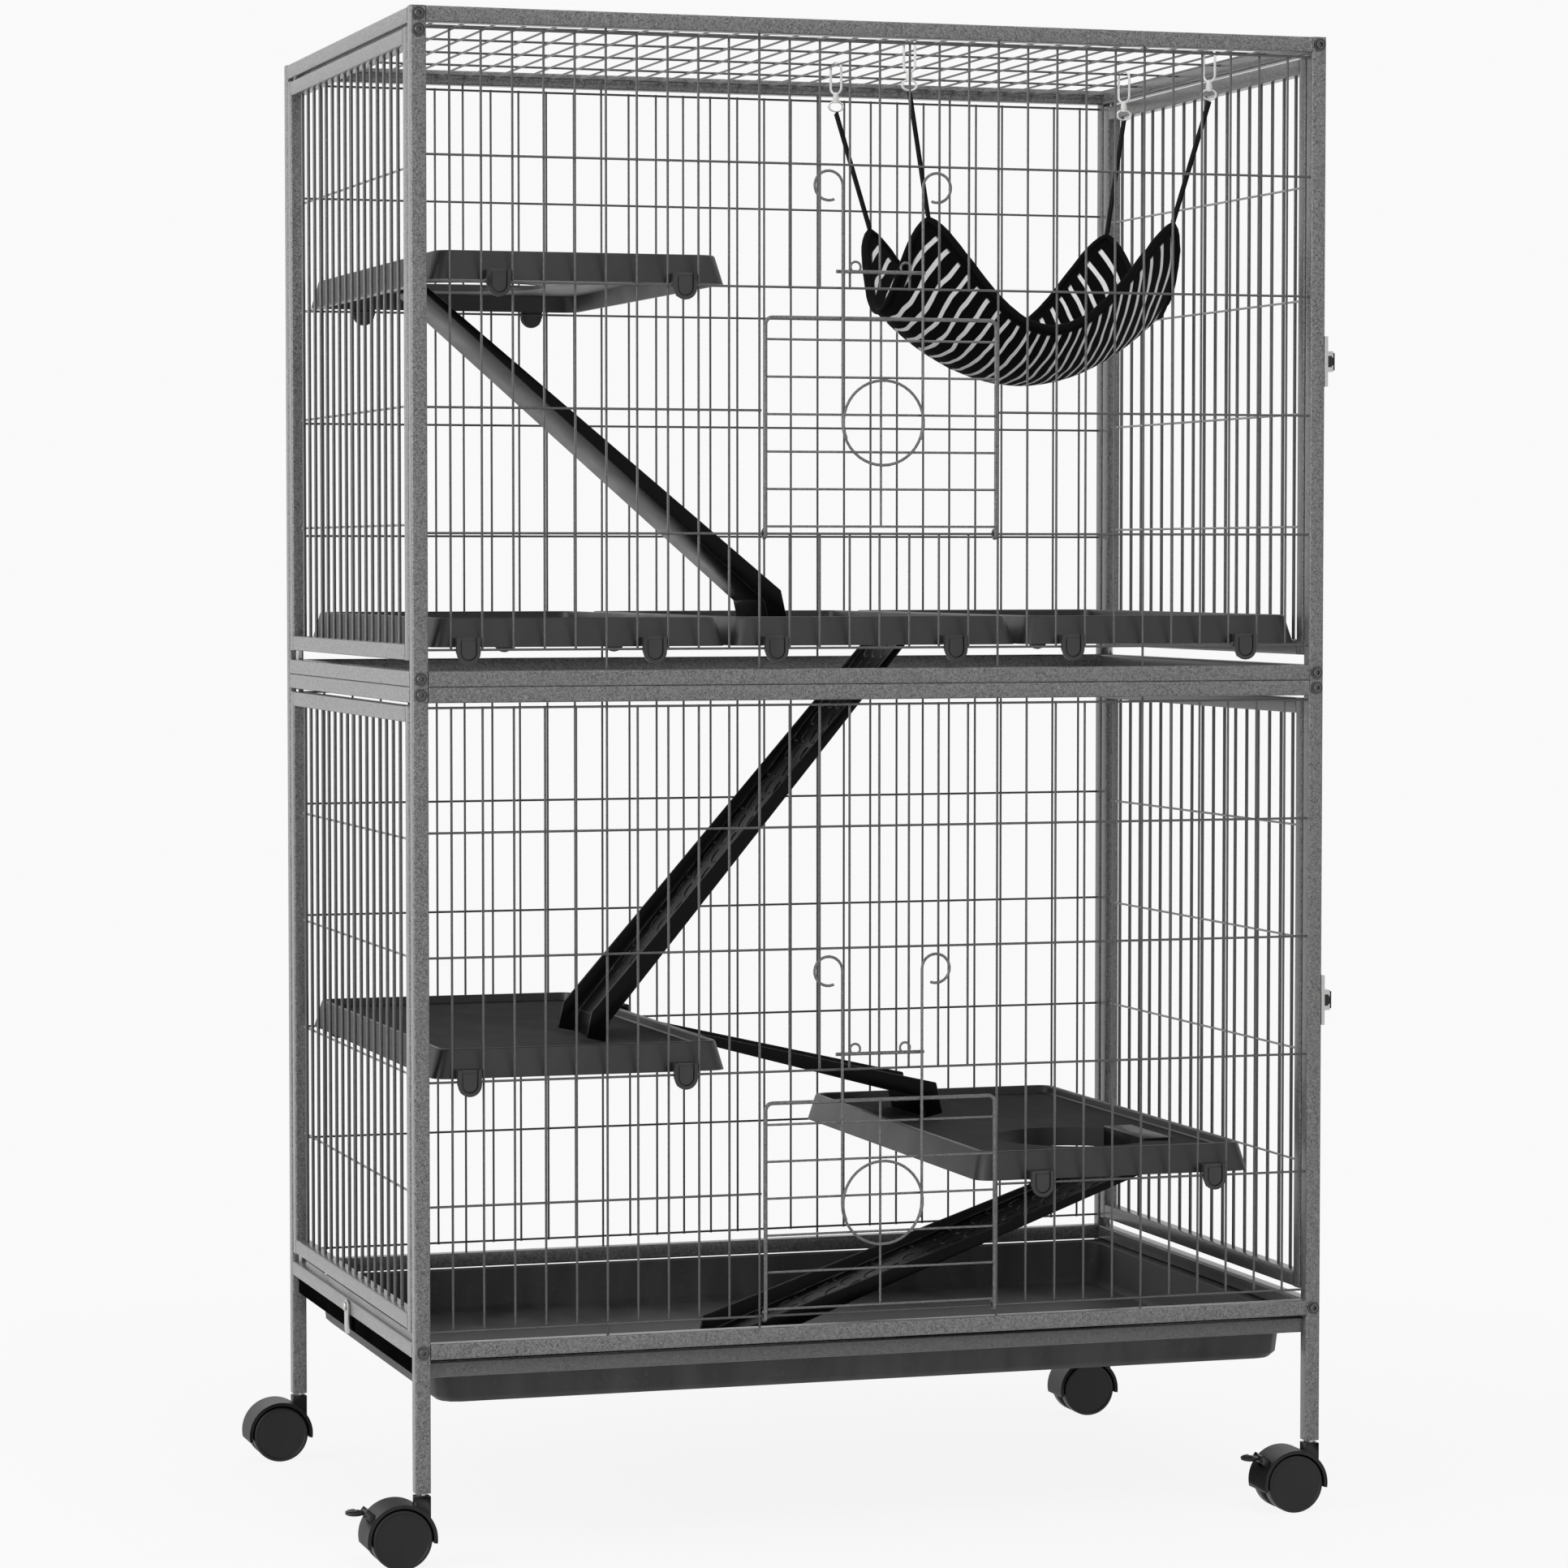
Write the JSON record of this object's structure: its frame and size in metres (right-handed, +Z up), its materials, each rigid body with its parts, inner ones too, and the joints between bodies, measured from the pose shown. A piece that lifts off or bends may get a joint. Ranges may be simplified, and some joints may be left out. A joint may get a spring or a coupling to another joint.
{
  "type": "small animal cage",
  "caption": "Rolling two-storey wire cage for small animals with shelves, ramps, a hammock, hinged doors and a slide-out tray.",
  "frame": {"origin": "on the floor under the middle of the square tube frame", "axes": "+X to the right seen from the front, +Y to the back, +Z up; the small doors face -Y and the side doors +X"},
  "size_m": [0.8696, 0.5296, 1.266],
  "materials": {
    "frame_paint": "hammered grey powder coat",
    "wire_paint": "grey powder coat",
    "bright_steel": "zinc plated",
    "shelf_plastic": "satin moulded",
    "tray_plastic": "satin moulded",
    "caster_plastic": "satin moulded",
    "hammock_cloth": "plush with pale stripes",
    "strap_webbing": "woven",
    "hook_plastic": "clear moulded"
  },
  "bodies": {
    "cage": {"post_front_left": "frame_paint", "post_front_right": "frame_paint", "post_rear_left": "frame_paint", "post_rear_right": "frame_paint", "top_rails": "frame_paint", "mid_upper_rails": "frame_paint", "mid_lower_rails": "frame_paint", "base_rails": "frame_paint", "tray_runners": "frame_paint", "left_upper_panel": "frame_paint", "left_lower_panel": "frame_paint", "left_panel_pins": "frame_paint", "front_upper_panel": "wire_paint", "front_lower_panel": "wire_paint", "rear_upper_panel": "wire_paint", "rear_lower_panel": "wire_paint", "top_panel": "wire_paint", "front_latch_keepers": "wire_paint", "right_upper_latch_plate": "bright_steel", "right_lower_latch_plate": "bright_steel", "tray_lock_rivet": "bright_steel", "caster_stems": "bright_steel", "upper_left_shelf": "shelf_plastic", "mid_left_shelf": "shelf_plastic", "mid_centre_shelf": "shelf_plastic", "mid_right_shelf": "shelf_plastic", "lower_left_shelf": "shelf_plastic", "lower_right_shelf": "shelf_plastic", "shelf_clips": "shelf_plastic", "upper_ramp": "shelf_plastic", "middle_ramp": "shelf_plastic", "bridge_ramp": "shelf_plastic", "lower_ramp": "shelf_plastic", "post_caps": "shelf_plastic", "hammock": "hammock_cloth", "hammock_straps": "strap_webbing", "snap_hooks": "hook_plastic"},
    "front_upper_door": {"front_upper_door": "wire_paint", "front_upper_latch": "wire_paint"},
    "front_lower_door": {"front_lower_door": "wire_paint", "front_lower_latch": "wire_paint"},
    "right_upper_door": {"right_upper_door": "frame_paint", "right_upper_door_pins": "frame_paint"},
    "right_lower_door": {"right_lower_door": "frame_paint", "right_lower_door_pins": "frame_paint"},
    "right_upper_bolt": {"right_upper_bolt": "bright_steel"},
    "right_lower_bolt": {"right_lower_bolt": "bright_steel"},
    "tray": {"tray": "tray_plastic"},
    "tray_lock_tab": {"tray_lock_tab": "bright_steel"},
    "caster_front_left": {"caster_housing_front_left": "caster_plastic"},
    "wheels_front_left": {"caster_wheels_front_left": "caster_plastic"},
    "brake_lever_front_left": {"brake_lever_front_left": "caster_plastic"},
    "caster_front_right": {"caster_housing_front_right": "caster_plastic"},
    "wheels_front_right": {"caster_wheels_front_right": "caster_plastic"},
    "brake_lever_front_right": {"brake_lever_front_right": "caster_plastic"},
    "caster_rear_left": {"caster_housing_rear_left": "caster_plastic"},
    "wheels_rear_left": {"caster_wheels_rear_left": "caster_plastic"},
    "caster_rear_right": {"caster_housing_rear_right": "caster_plastic"},
    "wheels_rear_right": {"caster_wheels_rear_right": "caster_plastic"}
  },
  "joints": [
    {"name": "front_upper_door_hinge", "type": "hinge", "parent": "cage", "child": "front_upper_door", "pos_m": [0, -0.24852, 0.8422], "axis": [1, 0, 0], "range_deg": [0, 145]},
    {"name": "front_lower_door_hinge", "type": "hinge", "parent": "cage", "child": "front_lower_door", "pos_m": [0, -0.24852, 0.1912], "axis": [1, 0, 0], "range_deg": [0, 118]},
    {"name": "right_upper_door_hinge", "type": "hinge", "parent": "cage", "child": "right_upper_door", "pos_m": [0.3935, 0.2305, 0.9945], "axis": [0, 0, 1], "range_deg": [0, 105]},
    {"name": "right_lower_door_hinge", "type": "hinge", "parent": "cage", "child": "right_lower_door", "pos_m": [0.3935, 0.2305, 0.446], "axis": [0, 0, 1], "range_deg": [0, 105]},
    {"name": "right_upper_bolt_slide", "type": "slide", "parent": "cage", "child": "right_upper_bolt", "axis": [0, 1, 0], "range_m": [0, 0.012]},
    {"name": "right_lower_bolt_slide", "type": "slide", "parent": "cage", "child": "right_lower_bolt", "axis": [0, 1, 0], "range_m": [0, 0.012]},
    {"name": "tray_slide", "type": "slide", "parent": "cage", "child": "tray", "axis": [1, 0, 0], "range_m": [0, 0.25]},
    {"name": "tray_lock_turn", "type": "hinge", "parent": "cage", "child": "tray_lock_tab", "pos_m": [-0.4015, 0, 0.1765], "axis": [1, 0, 0], "range_deg": [0, 90]},
    {"name": "swivel_front_left", "type": "hinge", "parent": "cage", "child": "caster_front_left", "pos_m": [-0.3935, -0.2465, 0.05], "axis": [0, 0, 1], "continuous": true},
    {"name": "wheel_spin_front_left", "type": "hinge", "parent": "caster_front_left", "child": "wheels_front_left", "pos_m": [-0.4135, -0.2465, 0.025], "axis": [0, 1, 0], "continuous": true},
    {"name": "brake_front_left", "type": "hinge", "parent": "caster_front_left", "child": "brake_lever_front_left", "pos_m": [-0.4395, -0.2465, 0.04532], "axis": [0, -1, 0], "range_deg": [0, 12]},
    {"name": "swivel_front_right", "type": "hinge", "parent": "cage", "child": "caster_front_right", "pos_m": [0.3935, -0.2465, 0.05], "axis": [0, 0, 1], "continuous": true},
    {"name": "wheel_spin_front_right", "type": "hinge", "parent": "caster_front_right", "child": "wheels_front_right", "pos_m": [0.3735, -0.2465, 0.025], "axis": [0, 1, 0], "continuous": true},
    {"name": "brake_front_right", "type": "hinge", "parent": "caster_front_right", "child": "brake_lever_front_right", "pos_m": [0.3475, -0.2465, 0.04532], "axis": [0, -1, 0], "range_deg": [0, 12]},
    {"name": "swivel_rear_left", "type": "hinge", "parent": "cage", "child": "caster_rear_left", "pos_m": [-0.3935, 0.2465, 0.05], "axis": [0, 0, 1], "continuous": true},
    {"name": "wheel_spin_rear_left", "type": "hinge", "parent": "caster_rear_left", "child": "wheels_rear_left", "pos_m": [-0.4135, 0.2465, 0.025], "axis": [0, 1, 0], "continuous": true},
    {"name": "swivel_rear_right", "type": "hinge", "parent": "cage", "child": "caster_rear_right", "pos_m": [0.3935, 0.2465, 0.05], "axis": [0, 0, 1], "continuous": true},
    {"name": "wheel_spin_rear_right", "type": "hinge", "parent": "caster_rear_right", "child": "wheels_rear_right", "pos_m": [0.3735, 0.2465, 0.025], "axis": [0, 1, 0], "continuous": true}
  ]
}
